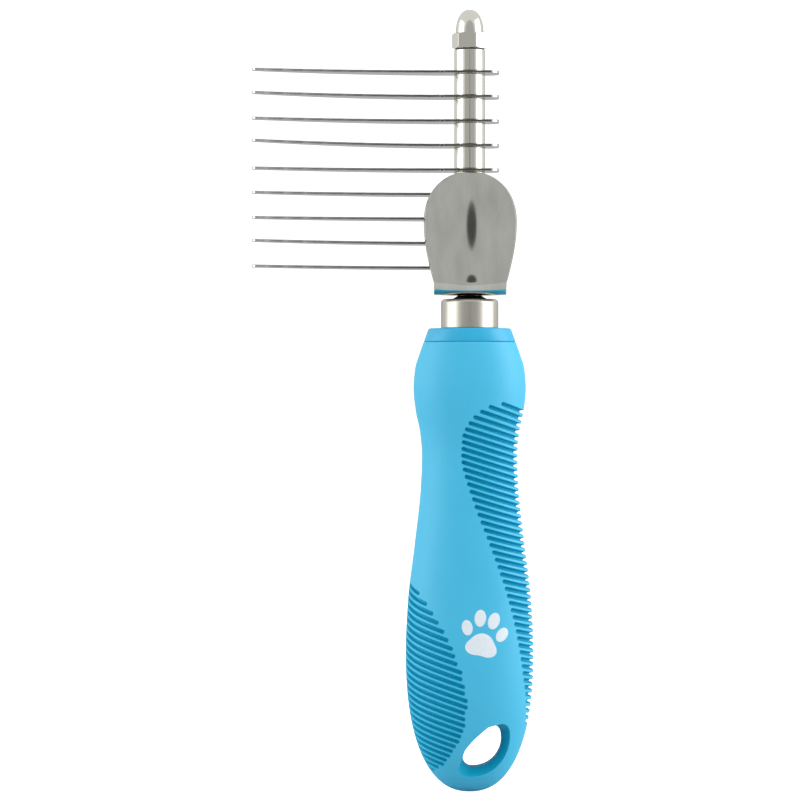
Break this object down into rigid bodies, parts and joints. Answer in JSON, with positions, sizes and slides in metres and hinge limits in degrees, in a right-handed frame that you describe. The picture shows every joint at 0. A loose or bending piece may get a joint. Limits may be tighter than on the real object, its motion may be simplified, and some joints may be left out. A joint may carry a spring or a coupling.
{
  "type": "dematting comb",
  "caption": "Pet dematting comb: sickle blades spaced along a threaded rod, with a thumb rest, a domed clamping nut and a contoured soft-grip handle with a hang hole.",
  "frame": {"origin": "on the rod's axis in the middle of the hand grip, 60 mm above the handle's lower end, where the hand closes round it", "axes": "+Z along the rod towards the acorn nut; -X the way the blades point; -Y the side of the cutting edges and of the thumb rest"},
  "size_m": [0.0716, 0.024, 0.1997],
  "materials": {
    "grip_rubber": "satin",
    "core_plastic": "satin",
    "rod_steel": "satin",
    "nickel_plate": "polished",
    "washer_steel": "satin",
    "thumb_rest_steel": "polished",
    "blade_steel": "polished",
    "pad_print": "satin"
  },
  "bodies": {
    "comb": {"grip": "grip_rubber", "handle_core": "core_plastic", "anchor_nut": "rod_steel", "rod": "rod_steel", "ferrule": "nickel_plate", "cone_washer": "washer_steel", "thumb_rest": "thumb_rest_steel", "blade_1": "blade_steel", "blade_2": "blade_steel", "blade_3": "blade_steel", "blade_4": "blade_steel", "blade_5": "blade_steel", "blade_6": "blade_steel", "blade_7": "blade_steel", "blade_8": "blade_steel", "blade_9": "blade_steel", "spacer_1": "nickel_plate", "spacer_2": "nickel_plate", "spacer_3": "nickel_plate", "spacer_4": "nickel_plate", "spacer_5": "nickel_plate", "spacer_6": "nickel_plate", "spacer_7": "nickel_plate", "spacer_8": "nickel_plate", "spacer_9": "nickel_plate", "spacer_10": "nickel_plate"},
    "nut_carriage": {"nut_washer": "washer_steel"},
    "nut": {"acorn_nut": "nickel_plate"}
  },
  "joints": [
    {"name": "nut_lift", "type": "slide", "parent": "comb", "child": "nut_carriage", "axis": [0, 0, 1], "range_m": [0, 0.0072]},
    {"name": "nut_turn", "type": "hinge", "parent": "nut_carriage", "child": "nut", "pos_m": [0, 0, 0.13172], "axis": [0, 0, 1], "range_deg": [0, 3240]}
  ],
  "couplings": [
    {"joint": "nut_turn", "follows": "nut_lift", "rad_per_m": 7854}
  ]
}
